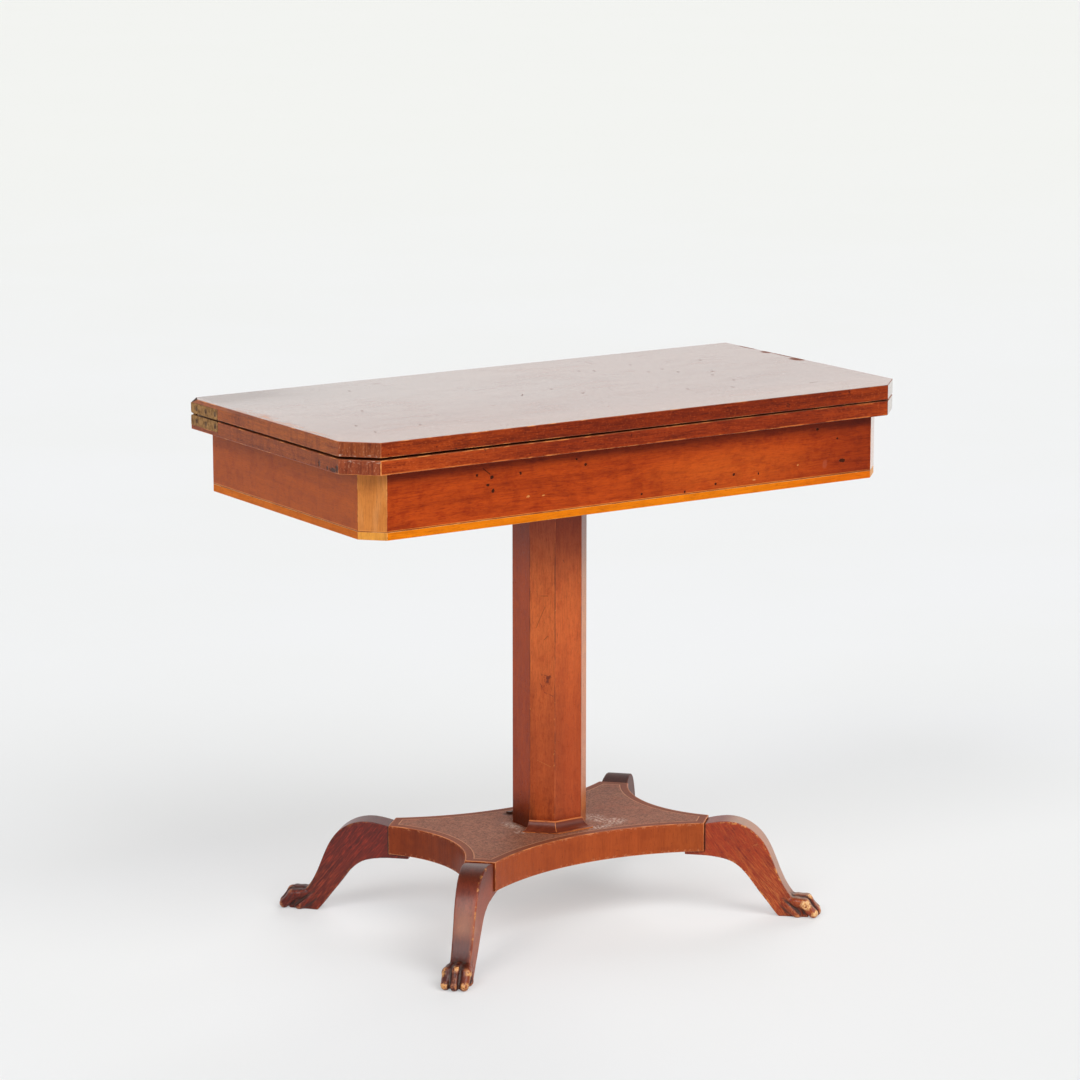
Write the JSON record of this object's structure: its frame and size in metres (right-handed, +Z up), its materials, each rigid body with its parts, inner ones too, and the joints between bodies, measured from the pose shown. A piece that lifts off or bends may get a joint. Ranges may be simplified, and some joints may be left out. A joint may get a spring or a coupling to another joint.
{
  "type": "folding card table",
  "caption": "Pedestal card table with a hinged double top that turns on its frieze and folds open to a square baize-lined playing surface.",
  "frame": {"origin": "on the floor, on the axis of the column, below the middle of the bounding box", "axes": "+Z up, +X along the table towards its right end, -Y to the front, +Y to the hinge side"},
  "size_m": [0.91, 0.4902, 0.76],
  "materials": {
    "top_wood": "polished mahogany veneer, worn",
    "leaf_wood": "polished mahogany veneer, worn",
    "frieze_wood": "polished red-brown veneer with small dents",
    "corner_wood": "paler polished veneer",
    "band_wood": "light inlaid band, polished",
    "column_wood": "polished red-brown veneer",
    "moulding_wood": "dark polished wood",
    "platform_wood": "worn veneer, crossbanded edge",
    "leg_wood": "dark red polished wood, worn on the arrises",
    "carcass_wood": "bare softwood",
    "brass": "aged brass",
    "iron": "dark wrought iron",
    "baize": "green wool baize"
  },
  "bodies": {
    "stand": {"pivot_washer": "iron", "stop_cleat": "carcass_wood", "pivot_rail": "carcass_wood", "well_floor": "carcass_wood", "well_divider": "carcass_wood", "column_bearer": "carcass_wood", "bearer_cleat_front": "carcass_wood", "bearer_cleat_back": "carcass_wood", "bearer_screws": "iron", "corner_glue_blocks": "carcass_wood", "frieze_front": "frieze_wood", "frieze_left": "frieze_wood", "frieze_right": "frieze_wood", "frieze_back": "frieze_wood", "frieze_corner_left": "corner_wood", "frieze_corner_right": "corner_wood", "frieze_band_front": "band_wood", "frieze_band_left": "band_wood", "frieze_band_right": "band_wood", "frieze_band_corner_left": "band_wood", "frieze_band_corner_right": "band_wood", "column": "column_wood", "column_upper_wedge": "carcass_wood", "column_lower_wedge": "carcass_wood", "foot_moulding_front": "moulding_wood", "foot_moulding_front_left": "moulding_wood", "foot_moulding_back_right": "moulding_wood", "foot_moulding_back": "moulding_wood", "platform": "platform_wood", "leg_front_left": "leg_wood", "leg_front_right": "leg_wood", "leg_back_left": "leg_wood", "leg_back_right": "leg_wood", "leg_dowels": "carcass_wood", "leg_screws": "iron"},
    "lower_leaf": {"lower_leaf": "leaf_wood", "lower_baize": "baize", "lower_hinge_pins": "brass", "lower_hinge_screws": "brass", "lower_hinge_plate_left": "brass", "lower_hinge_plate_right": "brass", "pivot_plate": "iron", "pivot_bolt": "iron", "pivot_nut": "iron", "pivot_plate_screws": "iron", "stop_peg": "carcass_wood"},
    "hinge_links": {"hinge_link_left": "brass", "hinge_link_right": "brass"},
    "upper_leaf": {"upper_leaf": "top_wood", "upper_baize": "baize", "upper_hinge_pins": "brass", "upper_hinge_screws": "brass", "upper_hinge_plate_left": "brass", "upper_hinge_plate_right": "brass"}
  },
  "joints": [
    {"name": "top_turn", "type": "hinge", "parent": "stand", "child": "lower_leaf", "pos_m": [0.10435, 0.10435, 0.7168], "axis": [0, 0, 1], "range_deg": [0, 90]},
    {"name": "link_fold", "type": "hinge", "parent": "lower_leaf", "child": "hinge_links", "pos_m": [0, 0.2025, 0.7322], "axis": [-1, 0, 0], "range_deg": [0, 90]},
    {"name": "leaf_fold", "type": "hinge", "parent": "hinge_links", "child": "upper_leaf", "pos_m": [0, 0.2025, 0.7446], "axis": [-1, 0, 0], "range_deg": [0, 90]}
  ],
  "couplings": [
    {"joint": "link_fold", "follows": "leaf_fold", "ratio": 1}
  ]
}
